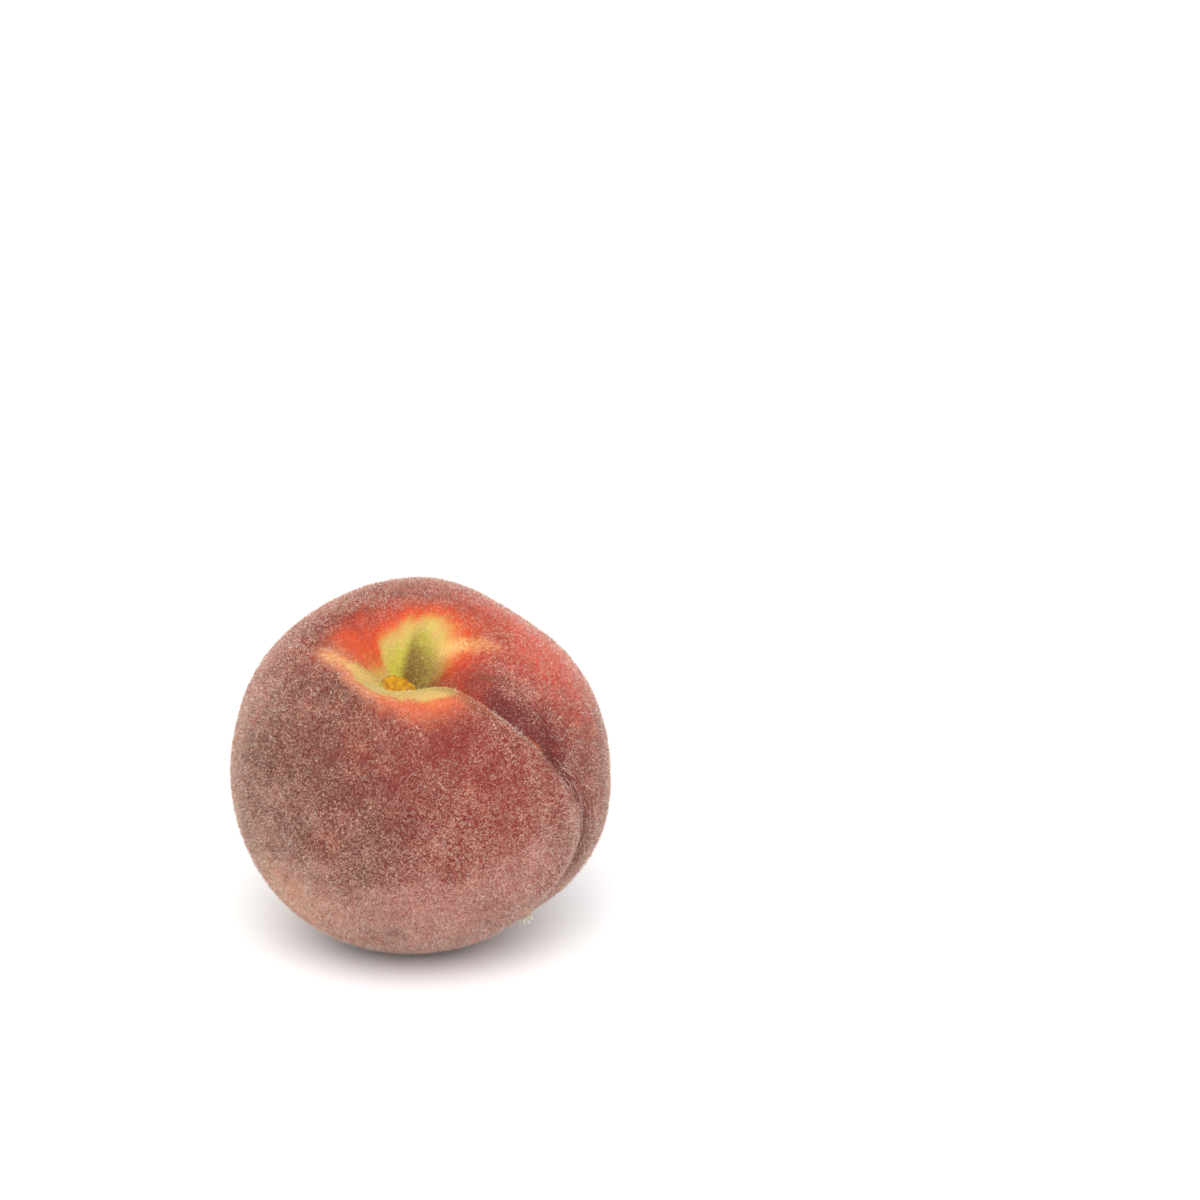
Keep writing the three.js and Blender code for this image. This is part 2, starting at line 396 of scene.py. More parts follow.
def near_side(p):
    """1 on the near wall of the cavity and over its rim, 0 on the far wall."""
    return 1 - smoothstep(*NEAR_WALL_ENDS, sides_of_stem(p)[1])


def streak(p, start, end, width, tail):
    """1 along a line between two places round the stem, (suture side, far side) in mm, and
    fading over its last part."""
    start, end = np.array(start), np.array(end)
    length = np.linalg.norm(end - start)
    way = (end - start) / length
    right, back = (side - at for side, at in zip(sides_of_stem(p), start))
    on = right * way[0] + back * way[1]
    off = back * way[0] - right * way[1]
    beyond = np.maximum(-on, 0) / width
    return bell(off, width) * bell(beyond, 1) * (1 - smoothstep(length - tail, length, on))


def olive_wedge_and_shade(p):
    """A wedge of olive-brown on the far wall of the cavity, down to the scar. Its wide fade
    towards the rim and its weaker part to the right are painted shade.
    """
    right, back = sides_of_stem(p)
    slope = WEDGE_SLOPE[0] * right + WEDGE_SLOPE[1] * back
    wedge = smoothstep(*WEDGE_LEFT, right) * (1 - smoothstep(*WEDGE_END, slope))
    paler = WEDGE_RIGHT_PALER * smoothstep(*WEDGE_RIGHT, right)
    return wedge * smoothstep(*WEDGE_NEAR, back) * (1 - paler)


# Soft spots of a field: heading, height and reach in degrees, then the amount.
WORN_SPOTS = (
    (-80, 28, 38, 0.58),
    (20, 38, 40, 0.28),
    (-126, 24, 12, 0.3),
    (-144, 64, 10, 0.8),
    (-13, 65, 12, 0.25),
    (-159, 26, 11, -0.45),
    (-42, -16, 9, -0.3),
    (-64, 29, 8, -0.3),
    (-22, 55, 9, -0.25),
    (-126, -27, 10, -0.45),
    (-80, -38, 36, -0.55),
    (174, 40, 20, -0.3),
    (-136, -36, 20, -0.45),
)
# Dusky brown to the left of the middle, and painted shade darkening the front-facing middle.
DUSKY_AND_SHADE_SPOTS = ((-100, 3, 27, 1), (-140, 10, 22, 0.8))
TAN_SPOTS = ((-158, 8, 52, 1), (140, -30, 40, 1))
SUNNY_SPOTS = (
    (-58, 16, 50, 0.95),
    (70, 10, 55, 0.8),
    (-84, -44, 34, 0.5),
    (-175, 60, 32, 0.6),
    (-84, 32, 18, 0.4),
    (130, 5, 48, 0.8),
)
SALMON_SPOTS = ((0, 47, 32, 1), (140, 66, 36, 0.4))
PALE_SPOTS = ((-141, -36, 19, 0.85), (135, -10, 44, 1.1))

# Strips along the suture, in mm: how far across their middle lies, half their width, and
# where they come in and go out.
FAR_RIDGE = (8, 2.2, (15, 19), (26, 33))
NEAR_RIDGE = (-2.6, 1.3, (42, 52), (62, 76))
VALLEY = (1.2, 2.6, (12, 20), (58, 72))
CREASE = (0.5, 0.8, (30, 40), (60, 72))

COVER_PATCHES = ((5, 16, 0.13), (6, 7, 0.13), (7, 3, 0.1))  # seed, size in mm, amount
COVER_LEAST, COVER_MOST = 0.25, 1.8
VALLEY_BARE, FAR_RIDGE_DOWN, NEAR_RIDGE_DOWN = 0.85, 0.5, 0.6
OFF_STEM_BANDS, STEM_COVER = (0.3, 2.8), 0.16


def between(strength, x, starts, ends):
    """A strength that eases in and out again along x."""
    return strength * smoothstep(*starts, x) * (1 - smoothstep(*ends, x))


def along_seam(p, strip):
    across, width, starts, ends = strip
    return between(bell(p.across - across, width), p.distance, starts, ends)


def down_cover(p, points):
    """How thickly the pale down covers the skin: worn on the sunny cheek, thick low down."""
    worn = over_spots(p, WORN_SPOTS)
    off_stem = smoothstep(*OFF_STEM_BANDS, stem_band(p) + near_side(p))
    cover = (1 - worn) * (1 - VALLEY_BARE * along_seam(p, VALLEY))
    cover = cover + FAR_RIDGE_DOWN * along_seam(p, FAR_RIDGE)
    cover = cover + NEAR_RIDGE_DOWN * along_seam(p, NEAR_RIDGE)
    patches = (amount * waves(points, seed, size) for seed, size, amount in COVER_PATCHES)
    cover = cover + sum(patches)
    cover = np.clip(cover, COVER_LEAST, COVER_MOST)
    return cover * (STEM_COVER + (1 - STEM_COVER) * off_stem)


# Where painted shade lies on the far wall of the suture's valley: across it and along it, in
# mm.
WALL_ACROSS = (-1.5, 0.6), (3.5, 10)
WALL_ALONG = (16, 25), (34, 56)
SHADED_WALL_SHARE, CREASE_SHARE = 0.8, 0.7
LIP_EDGE_IN, LIP_EDGE_WIDTH, LIP_EDGE_ALONG = 0.8, 0.6, ((10, 16), (32, 38))
LEFT_STREAK = (-3.4, -3.6), (-20.5, -3.0), 2.1, 10
RIGHT_STREAK, RIGHT_SHARE = ((7.5, 8.8), (21, 18.8), 2.4, 15), 0.9
MARK = (17.4, 7.2), (20.6, 9.0), 0.35, 1.2
COOL_BEARING, COOL_REACH, COOL_SHARE, COOL_NEAR = -122, 42, 1.4, 0.3
FLECK_ACROSS, FLECK_WIDTH, FLECK_AT, FLECK_LENGTH = 0.1, 0.4, 34, 1.8
TIP_DUST_REACH = 2.8


def skin_values(p, points):
    """The formula-made fields that the skin's material mixes its colours by."""
    # The valley's far wall gets painted shade; the seam line itself is wine red.
    wall = between(between(1, p.across, *WALL_ACROSS), p.distance, *WALL_ALONG)
    crease = along_seam(p, CREASE)
    lip = bell(p.across + suture_near_width(p.distance) - LIP_EDGE_IN, LIP_EDGE_WIDTH)
    cool = COOL_SHARE * bell(turn_from(p.round, COOL_BEARING), COOL_REACH)
    fleck = bell(p.across - FLECK_ACROSS, FLECK_WIDTH)
    return {
        "stem_band": stem_band(p),
        "left_streak": streak(p, *LEFT_STREAK),
        "right_streak": RIGHT_SHARE * streak(p, *RIGHT_STREAK),
        "near_side": near_side(p),
        "cool_side": np.clip(cool + COOL_NEAR * near_side(p), 0, 1),
        "crease": np.clip(SHADED_WALL_SHARE * wall + CREASE_SHARE * crease, 0, 1),
        "lip": between(lip, p.distance, *LIP_EDGE_ALONG),
        "olive_and_shade": olive_wedge_and_shade(p),
        "sunny": np.clip(over_spots(p, SUNNY_SPOTS), 0, 1),
        "salmon": over_spots(p, SALMON_SPOTS),
        "pale": over_spots(p, PALE_SPOTS),
        "cover": down_cover(p, points),
        "fleck": fleck * bell(p.distance - FLECK_AT, FLECK_LENGTH),
        "mark": streak(p, *MARK),
        "tip_near": bell(p.from_tip, TIP_DUST_REACH),
        "tan_side": np.clip(over_spots(p, TAN_SPOTS), 0, 1),
        "dusky_and_shade": np.minimum(over_spots(p, DUSKY_AND_SHADE_SPOTS), 1),
    }


RAY_SPREAD, RAY_STRETCH = 9, 0.3
LENGTHWAYS_SQUEEZE = 0.68


def rays(p):
    """Places for noise that runs outward from the stem like rays."""
    x, y = RAY_SPREAD * np.cos(p.round), RAY_SPREAD * np.sin(p.round)
    return np.stack([x, y, RAY_STRETCH * p.from_stem], -1) * MM


def streaked(points):
    """Places for patchy colour that runs from the stem to the tip."""
    lengthways = points @ TO_STEM
    return (points - LENGTHWAYS_SQUEEZE * lengthways[:, None] * TO_STEM) * MM


# ---- Materials -------------------------------------------------------------------------------


def srgb(red, green, blue):
    """A colour from its 0 to 255 values, as linear light."""
    return tuple(
        c / 12.92 if c <= 0.04045 else ((c + 0.055) / 1.055) ** 2.4
        for c in (red / 255, green / 255, blue / 255)
    ) + (1.0,)


class Nodes:
    """Short names for building one material's node tree."""

    def __init__(self, name):
        self.material = bpy.data.materials.new(name)
        self.material.use_nodes = True
        self.tree = self.material.node_tree
        self.shader = self.tree.nodes["Principled BSDF"]

    def add(self, kind, inputs=(), **settings):
        node = self.tree.nodes.new("ShaderNode" + kind)
        for key, value in settings.items():
            setattr(node, key, value)
        for key, value in dict(inputs).items():
            self.put(node.inputs[key], value)
        return node

    def put(self, socket, value):
        if isinstance(value, bpy.types.NodeSocket):
            self.tree.links.new(value, socket)
        else:
            socket.default_value = value

    def math(self, operation, a, b=0.0, c=0.0, clamp=False):
        inputs = {0: a, 1: b, 2: c}
        return self.add("Math", inputs, operation=operation, use_clamp=clamp).outputs[0]

    def times(self, a, b):
        return self.math("MULTIPLY", a, b)

    def stir(self, value, noise, amount):
        """A value moved up and down by a noise."""
        return self.math("MULTIPLY_ADD", self.math("SUBTRACT", noise, 0.5), amount, value)

    def spread(self, value, low, high):
        """A value from 0 to 1, spread from low to high."""
        return self.add("MapRange", {"Value": value, "To Min": low, "To Max": high}).outputs[0]

    def value(self, name):
        return self.add("Attribute", attribute_name=name).outputs["Fac"]

    def vector(self, name):
        return self.add("Attribute", attribute_name=name).outputs["Vector"]

    def noise(self, size, detail=2.0, roughness=0.5, vector=None, curl=0.0):
        """Noise from 0 to 1 with features of about this size in mm."""
        inputs = {"Scale": 1 / (size * MM), "Detail": detail, "Roughness": roughness}
        inputs["Distortion"] = curl
        if vector is None:
            vector = self.add("TexCoord").outputs["Object"]
        inputs["Vector"] = vector
        return self.add("TexNoise", inputs).outputs["Fac"]

    def step(self, value, start, end):
        inputs = {"Value": value, "From Min": start, "From Max": end}
        return self.add("MapRange", inputs, interpolation_type="SMOOTHSTEP").outputs[0]

    def mix(self, amount, a, b, blend="MIX"):
        node = self.add("Mix", data_type="RGBA", blend_type=blend)
        self.put(node.inputs["Factor"], amount)
        self.put(node.inputs[6], a)
        self.put(node.inputs[7], b)
        return node.outputs[2]

    def ramp(self, value, stops):
        node = self.add("ValToRGB", {"Fac": value})
        band = node.color_ramp
        band.elements[0].position, band.elements[0].color = stops[0]
        band.elements[1].position, band.elements[1].color = stops[-1]
        for place, colour in stops[1:-1]:
            band.elements.new(place).color = colour
        return node.outputs["Color"]


LIME = srgb(180, 172, 64)
CREAM = srgb(186, 158, 84)
PALE_CREAM = srgb(186, 150, 88)
AMBER = srgb(190, 108, 50)
ORANGE_RED = srgb(182, 58, 20)
RED = srgb(150, 40, 24)
UMBER = srgb(88, 40, 28)
ROSY = srgb(112, 27, 22)
SALMON = srgb(184, 57, 38)
DUSK_AND_SHADE = srgb(60, 22, 18)
WINE = srgb(72, 14, 19)
GROUND = srgb(218, 158, 96)
OLIVE = srgb(96, 52, 20)
BLUSH_PALE = srgb(190, 118, 84)
PALE_GOLD = srgb(220, 176, 106)
DUST = srgb(218, 178, 156)
BLOOM = srgb(188, 137, 132)


RAY_SIZE, PATCH_SIZE, MOTTLE_SIZE, GRAIN_SIZE, FINE_SIZE = 1.6, 9, 3.2, 0.45, 0.4  # mm
FINE_CURL = 1.6
DOT_SPACING, DOT_REACH = 2.6, 0.055  # in mm, and as a share of the spacing
NEAR_BLUSH, GROUND_SHOWS, DUSK_AND_SHADE_SHARE, WINE_AND_SHADE_SHARE = 0.4, 0.7, 0.38, 0.8
STREAK_SHARE, OLIVE_AND_SHADE_SHARE, DOT_SHARE, BLOOM_SHARE, DUST_SHARE = 0.75, 0.85, 0.7, 0.3, 0.5
LIP_TINT, FLECK_TINT, MARK_TINT, TIP_TINT = 0.15, 0.55, 0.8, 0.6
BAND_RATE, BAND_START = 0.2, 0.3  # from stem bands to places on the ramp below
BAND_COLOURS = [(0.05, LIME), (0.24, CREAM), (0.44, AMBER), (0.58, ORANGE_RED), (0.78, RED)]


def blush_colour(n, patch, mottle):
    """Umber to rosy red, with paler ground colour showing through on the side that grew in
    shade, dusky brown and painted shade over the middle, and wine red along the seam, deepened
    by painted shade on the valley's far wall.
    """
    rosy = n.stir(n.value("sunny"), patch, 1.7)
    blush = n.mix(n.step(rosy, 0.0, 1.0), UMBER, ROSY)
    salmon = n.stir(n.value("salmon"), mottle, 0.7)
    blush = n.mix(n.step(salmon, 0.1, 1.1), blush, SALMON)
    bare = n.stir(n.stir(n.value("pale"), mottle, 1.3), patch, 0.8)
    blush = n.mix(n.times(n.step(bare, 0.1, 1.3), GROUND_SHOWS), blush, GROUND)
    # Painted shade and dusky brown: the middle darkened towards dusk.
    blush = n.mix(n.times(n.value("dusky_and_shade"), DUSK_AND_SHADE_SHARE), blush, DUSK_AND_SHADE)
    # Wine red along the seam, deepened as painted shade on the valley's far wall.
    return n.mix(n.times(n.value("crease"), WINE_AND_SHADE_SHARE), blush, WINE)


def stem_end_colour(n, blush, mottle, grain):
    """Round the stem: green and cream ground with two pale streaks, then orange and red."""
    ray = n.noise(RAY_SIZE, 2, 0.6, n.vector("rays"))
    edge = n.stir(n.stir(n.stir(n.value("stem_band"), mottle, 0.9), ray, 1.1), grain, 1.0)
    place_on_ramp = n.math("MULTIPLY_ADD", edge, BAND_RATE, BAND_START, clamp=True)
    bands = n.ramp(place_on_ramp, BAND_COLOURS)
    rim = n.times(n.step(edge, 1.0, 0.0), n.step(edge, -2.2, -0.5))
    bands = n.mix(n.times(n.value("near_side"), rim), bands, PALE_CREAM)
    bands = n.mix(n.times(n.value("cool_side"), n.step(edge, 0.2, 1.4)), bands, BLUSH_PALE)
    streaks = n.math("ADD", n.value("left_streak"), n.value("right_streak"), clamp=True)
    rough = n.stir(n.stir(streaks, grain, 0.6), mottle, 0.6)
    blush = n.mix(n.times(n.step(rough, 0.0, 0.9), STREAK_SHARE), blush, BLUSH_PALE)
    blushing = n.math("MULTIPLY_ADD", n.value("near_side"), NEAR_BLUSH, edge)
    colour = n.mix(n.step(blushing, 1.8, 3.2), bands, blush)
    colour = n.mix(n.times(n.step(rough, 0.2, 1.2), STREAK_SHARE), colour, PALE_GOLD)
    # An olive-brown wedge in the cavity; its wide fade and its weaker right part are painted
    # shade.
    olive_and_shade = n.times(n.value("olive_and_shade"), n.step(mottle, -0.1, 0.5))
    return n.mix(n.times(olive_and_shade, OLIVE_AND_SHADE_SHARE), colour, OLIVE)


def dots(n):
    """Scattered pin-head dots."""
    where = n.add("TexCoord").outputs["Object"]
    cells = n.add("TexVoronoi", {"Scale": 1 / (DOT_SPACING * MM), "Vector": where})
    some = n.add("SeparateColor", {"Color": cells.outputs["Color"]}).outputs[0]
    inside = n.math("LESS_THAN", cells.outputs["Distance"], DOT_REACH)
    return n.times(inside, n.step(some, 0.3, 0.9))


def skin_material():
    n = Nodes("peach_skin")
    patch = n.noise(PATCH_SIZE, 3, 0.55, n.vector("streaked"))
    mottle, grain = n.noise(MOTTLE_SIZE, 3, 0.6), n.noise(GRAIN_SIZE, 2, 0.6)
    colour = stem_end_colour(n, blush_colour(n, patch, mottle), mottle, grain)
    colour = n.mix(n.times(n.value("lip"), LIP_TINT), colour, AMBER)
    colour = n.mix(n.times(n.value("fleck"), FLECK_TINT), colour, AMBER)
    colour = n.mix(n.times(n.value("mark"), MARK_TINT), colour, OLIVE)
    colour = n.mix(n.times(n.value("tip_near"), TIP_TINT), colour, DUST)
    colour = n.mix(n.times(dots(n), DOT_SHARE), colour, BLUSH_PALE)

    # The finest down, too short to see as hairs, is a pale curly grain over the colour.
    fine = n.noise(FINE_SIZE, 2, 0.6, curl=FINE_CURL)
    heavy = n.stir(n.value("cover"), mottle, 0.8)
    colour = n.mix(n.times(n.step(heavy, 0.9, 1.7), BLOOM_SHARE), colour, BLOOM)
    dust = n.math("MULTIPLY", n.step(fine, 0.46, 0.66), heavy, clamp=True)
    colour = n.mix(n.times(dust, DUST_SHARE), colour, DUST)
    light = n.spread(grain, 0.72, 1.28)
    tone = n.add("CombineColor", {0: light, 1: light, 2: light}).outputs[0]
    n.put(n.shader.inputs["Base Color"], n.mix(1.0, colour, tone, "MULTIPLY"))
    n.put(n.shader.inputs["Roughness"], n.spread(mottle, 0.62, 0.82))
    bump = n.add("Bump", {"Strength": 0.35, "Distance": 0.12 * MM, "Height": grain})
    n.put(n.shader.inputs["Normal"], bump.outputs[0])
    n.put(n.shader.inputs["Specular IOR Level"], 0.25)
    n.put(n.shader.inputs["Sheen Weight"], 0.45)
    n.put(n.shader.inputs["Sheen Roughness"], 0.3)
    n.put(n.shader.inputs["Sheen Tint"], (0.95, 0.82, 0.72, 1))
    return n.material


TUFT_SIZE, WARM_SIZE, WARM_SHARE = 0.6, 5, 0.5
DIM, BRIGHT, WARM = (0.8, 0.8, 0.8), (1.2, 1.2, 1.2), (1.0, 0.88, 0.76)
FLOOR_COLOUR = (0.93, 0.93, 0.93, 1)


def shade(tint, red, green, blue):
    """A colour with its red, green and blue light turned up or down."""
    return tuple(min(c * by, 1.0) for c, by in zip(tint, (red, green, blue))) + (1.0,)


def down_material(name, tint, roughness=0.7):
    """Dry hairs of one colour, lighter and darker from tuft to tuft and warmer in patches."""
    n = Nodes(name)
    tuft = n.step(n.noise(TUFT_SIZE, 2, 0.6), 0.35, 0.65)
    colour = n.mix(tuft, shade(tint, *DIM), shade(tint, *BRIGHT))
    warm = n.times(n.step(n.noise(WARM_SIZE, 2, 0.5), 0.4, 0.7), WARM_SHARE)
    colour = n.mix(warm, colour, shade(tint, *WARM))
    n.put(n.shader.inputs["Base Color"], colour)
    n.put(n.shader.inputs["Roughness"], roughness)
    n.put(n.shader.inputs["Specular IOR Level"], 0.3)
    return n.material


def floor_material():
    n = Nodes("floor")
    n.put(n.shader.inputs["Base Color"], FLOOR_COLOUR)
    n.put(n.shader.inputs["Roughness"], 0.8)
    n.put(n.shader.inputs["Specular IOR Level"], 0.3)
    return n.material


# ---- The skin --------------------------------------------------------------------------------


def place_on_base(points, low, high):
    """The move that puts these points where the solid stands, by its box."""
    middle = (low + high) / 2
    mine = (points.min(0) + points.max(0)) / 2
    return np.array([middle[0] - mine[0], middle[1] - mine[1], low[2] - points[:, 2].min()])


ways, triangles = skin_grid()
place = Place(ways)
points = skin_radius(place)[:, None] * ways
points[:, 2] = np.maximum(points[:, 2], points[:, 2].min() + REST_DEPTH)
low, high = (np.array(corner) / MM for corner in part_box("peach"))
MOVE = place_on_base(points, low, high)
points = points + MOVE
values = skin_values(place, points)
values["streaked"] = streaked(points)
values["rays"] = rays(place)
skin = make_object("peach_skin", points, triangles, skin_material(), values)
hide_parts("peach")
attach(skin, "root")


# ---- The down --------------------------------------------------------------------------------

OFF_SCAR, OFF_BASE = (0.3, 1.2), (1.1, 3.4)  # mm past the scar's edge, mm above the floor
SWIRL_SEEDS, SWIRL_SIZE, SWIRL_SHARE, ASTRAY = (11, 12, 13), 7, 0.7, 0.9
TUFT = 2  # hairs that stand together
TUFT_SPREAD, TUFT_ASTRAY = 0.06, 0.22
ROOT_SUNK = 0.05  # mm
BEND, BEND_DOWN, BEND_WIDTH = 0.9, 0.3, 0.7
BAKE_MAP = "OFBake"  # the name of a map that the export keeps
STRAIGHT_RINGS = (0.47,)  # where a hair's rings lie in its cell of the map, by their reach
BENT_RINGS = (0.47, 0.26)

normals = point_normals(points, triangles)


def scatter(rng, count, thickness):
    """Random places on the skin, as many to the square mm as the thickness there asks for."""
    a, b, c = (points[triangles[:, k]] for k in range(3))
    area = np.linalg.norm(np.cross(b - a, c - a), axis=1) / 2
    share = area * thickness[triangles].mean(1)
    chosen = np.searchsorted(np.cumsum(share), rng.uniform(0, share.sum(), count))
    chosen = np.minimum(chosen, len(triangles) - 1)
    u, v = rng.uniform(size=(2, count))
    flip = u + v > 1
    u, v = np.where(flip, 1 - u, u), np.where(flip, 1 - v, v)
    weights = np.stack([1 - u - v, u, v], -1)
    corners = triangles[chosen]
    roots = (points[corners] * weights[..., None]).sum(1)
    outward = unit((normals[corners] * weights[..., None]).sum(1))
    return roots, outward, corners, weights


def down_place():
    """1 where hairs grow: nowhere on the scar or the base."""
    off_scar = smoothstep(*(SCAR_RADIUS + past for past in OFF_SCAR), place.from_stem)
    return off_scar * smoothstep(*OFF_BASE, points[:, 2])


def lay(rng, roots, outward, lowest, steepest):
    """Directions of growth: combed by slow swirls, and each tuft astray by itself."""
    swirl = np.stack([waves(roots, seed, SWIRL_SIZE) for seed in SWIRL_SEEDS], -1)
    swirl = SWIRL_SHARE * unit(swirl) + rng.normal(size=roots.shape) * ASTRAY
    flat = swirl - (swirl * outward).sum(1, keepdims=True) * outward
    lift = rng.uniform(lowest, steepest, len(roots)) * DEG
    return np.cos(lift)[:, None] * unit(flat) + np.sin(lift)[:, None] * outward


def tufts(rng, count, thickness, lifts):
    """Roots, outward ways and growth directions of hairs that stand in small tufts."""
    roots, outward, _, _ = scatter(rng, count // TUFT, thickness)
    directions = np.repeat(lay(rng, roots, outward, *lifts), TUFT, 0)
    roots, outward = np.repeat(roots, TUFT, 0), np.repeat(outward, TUFT, 0)
    aside = rng.normal(size=roots.shape) * TUFT_SPREAD
    roots = roots + aside - (aside * outward).sum(1, keepdims=True) * outward
    directions = unit(directions + TUFT_ASTRAY * rng.normal(size=roots.shape))
    return roots, outward, directions


def side_vectors(directions, rng):
    """Two vectors square to each direction, turned at random."""
    helper = unit(rng.normal(size=directions.shape))
    one = unit(np.cross(directions, helper))
    return one, np.cross(directions, one)


def ring_of_three(centre, reach, one, two):
    """Three points round each centre, in the plane of two vectors."""
    turns = [k * 120 * DEG for k in range(3)]
    return [centre + reach * (math.cos(turn) * one + math.sin(turn) * two) for turn in turns]


def map_hairs(piece, hairs, rings):
    """A map for baking on which each hair has a cell of its own, its root round its tip."""
    cells = math.ceil(math.sqrt(hairs))
    middle, level, up = np.array([(0.5, 0.5), (1, 0), (0, 1)])
    spots = [spot for reach in rings for spot in ring_of_three(middle, reach, level, up)]
    spots.append(middle)
    cell = np.stack([np.arange(hairs) % cells, np.arange(hairs) // cells], -1)
    at = ((cell[:, None] + np.array(spots)) / cells).reshape(-1, 2)
    mesh = piece.data
    corners = np.empty(len(mesh.loops), np.int32)
    mesh.loops.foreach_get("vertex_index", corners)
    layer = mesh.uv_layers.new(name=BAKE_MAP)
    layer.data.foreach_set("uv", at[corners].astype(np.float32).ravel())


def straight_hairs(rng, roots, directions, lengths, width):
    """Closed three-sided spikes: three points at the root and one at the tip."""
    one, two = side_vectors(directions, rng)
    ring = ring_of_three(roots - directions * ROOT_SUNK, width / 2, one, two)
    tips = roots + directions * lengths[:, None]
    hair_points = np.stack(ring + [tips], 1).reshape(-1, 3)
    spike = np.array([(0, 1, 3), (1, 2, 3), (2, 0, 3), (0, 2, 1)])
    faces = (4 * np.arange(len(roots))[:, None, None] + spike).reshape(-1, 3)
    return hair_points, faces


def bent_hairs(rng, roots, directions, outward, lengths, width):
    """Closed spikes with a bend half way up."""
    one, two = side_vectors(directions, rng)
    bent = unit(directions + BEND * unit(rng.normal(size=roots.shape)) - BEND_DOWN * outward)
    middle = roots + directions * lengths[:, None] * 0.5
    tips = middle + bent * lengths[:, None] * 0.5
    rings = ring_of_three(roots - directions * ROOT_SUNK, width / 2, one, two)
    rings += ring_of_three(middle, width * BEND_WIDTH / 2, one, two)
    hair_points = np.stack(rings + [tips], 1).reshape(-1, 3)
    sides = []
    for k in range(3):
        j = (k + 1) % 3
        sides += [(k, j, 3 + j), (k, 3 + j, 3 + k), (3 + k, 3 + j, 6)]
    spike = np.array(sides + [(0, 2, 1)])
    faces = (7 * np.arange(len(roots))[:, None, None] + spike).reshape(-1, 3)
    return hair_points, faces


RED_COVER, NEAR_COVER, GLOW_ENDS = (1.2, 3.0), 1.1, (1.8, 3.4)  # in stem bands
GREEN_ENDS, DUSKY_AND_SHADE_THINS, TAN_LEAST, PINK_FROM = (0.4, 1.4), 0.45, 0.12, 1.12
FIRST_SEED = 100

# Name, colour, where it grows, number of hairs, lengths, width, least and most lift, bent.
DOWN = (
    ("down_cream", srgb(243, 230, 220), "all", 48000, (0.35, 0.8), 0.045, (38, 84), False),
    ("down_tan", srgb(233, 195, 170), "tan", 34000, (0.35, 0.7), 0.045, (20, 65), False),
    ("down_pink", srgb(232, 188, 174), "pink", 38000, (0.35, 0.7), 0.045, (20, 65), False),
    ("down_rose", srgb(204, 120, 98), "red", 38000, (0.35, 0.75), 0.05, (20, 65), False),
    ("down_dusty", srgb(150, 80, 66), "red", 22000, (0.35, 0.75), 0.05, (20, 65), False),
    ("down_gold", srgb(224, 214, 130), "ground", 8000, (0.3, 0.6), 0.04, (25, 75), False),
    ("down_orange", srgb(224, 128, 74), "orange", 8000, (0.3, 0.65), 0.045, (25, 75), False),
    ("down_long", srgb(244, 224, 202), "red", 6000, (0.7, 1.4), 0.045, (30, 84), True),
)


def grow_down():
    """Every colour of down as a piece. The hairs round the stem take the colour below them."""
    everywhere = values["cover"] * down_place()
    band = values["stem_band"]
    red = everywhere * smoothstep(*RED_COVER, band + NEAR_COVER * values["near_side"])
    glow = down_place() * (1 - smoothstep(*GLOW_ENDS, band))
    # Fewer pale hairs under the dusky brown and painted shade of the middle.
    pale = 1 - DUSKY_AND_SHADE_THINS * values["dusky_and_shade"]
    tan = TAN_LEAST + (1 - TAN_LEAST) * values["tan_side"]
    grounds = {
        "all": everywhere * pale,
        "ground": glow * (1 - smoothstep(*GREEN_ENDS, band)),
        "orange": glow * smoothstep(*GREEN_ENDS, band),
        "red": red,
        "tan": red * pale * tan,
        "pink": red * pale * (PINK_FROM - tan),
    }
    for seed, (name, colour, ground, count, spans, width, lifts, bent) in enumerate(DOWN):
        rng = np.random.default_rng(FIRST_SEED + seed)
        roots, outward, directions = tufts(rng, count, grounds[ground], lifts)
        lengths = rng.uniform(*spans, len(roots))
        if bent:
            hairs = bent_hairs(rng, roots, directions, outward, lengths, width)
        else:
            hairs = straight_hairs(rng, roots, directions, lengths, width)
        piece = make_object(name, *hairs, down_material(name, colour))
        map_hairs(piece, len(roots), BENT_RINGS if bent else STRAIGHT_RINGS)
        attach(piece, "root")


grow_down()


# ---- Stem scar, blossom tip and loose fibres -------------------------------------------------


def skin_points(directions):
    return skin_radius(Place(directions))[:, None] * directions + MOVE


SCAR_BUTTON = 3.7  # radius of the button, in mm
SCAR_RINGS, SCAR_SPOKES = 44, 120
SCAR_WAVINESS = ((2, 0.6, 0.05), (5, 0, 0.03))  # waves round the edge, turn, share
SCAR_CRINKLES = ((31, 2.2, 0.1), (32, 0.8, 0.03))  # seed, size, height
SCAR_FOLDS, SCAR_FOLD_HEIGHT, SCAR_FOLD_STARTS = 11, 0.05, (0.35, 0.8)
SCAR_RIM_AT, SCAR_RIM_REACH, SCAR_RIM_HEIGHT = 0.84, 0.1, 0.3
SCAR_SWELL, SCAR_SKIRT, SCAR_EDGE, SCAR_SUNK = 0.5, 0.5, 0.94, 0.25
SCAR_BASE = 0.8
SCAR_BROWN, SCAR_OCHRE = srgb(154, 98, 4), srgb(190, 138, 10)
SCAR_PALE, SCAR_CORK = srgb(210, 166, 40), srgb(96, 56, 14)


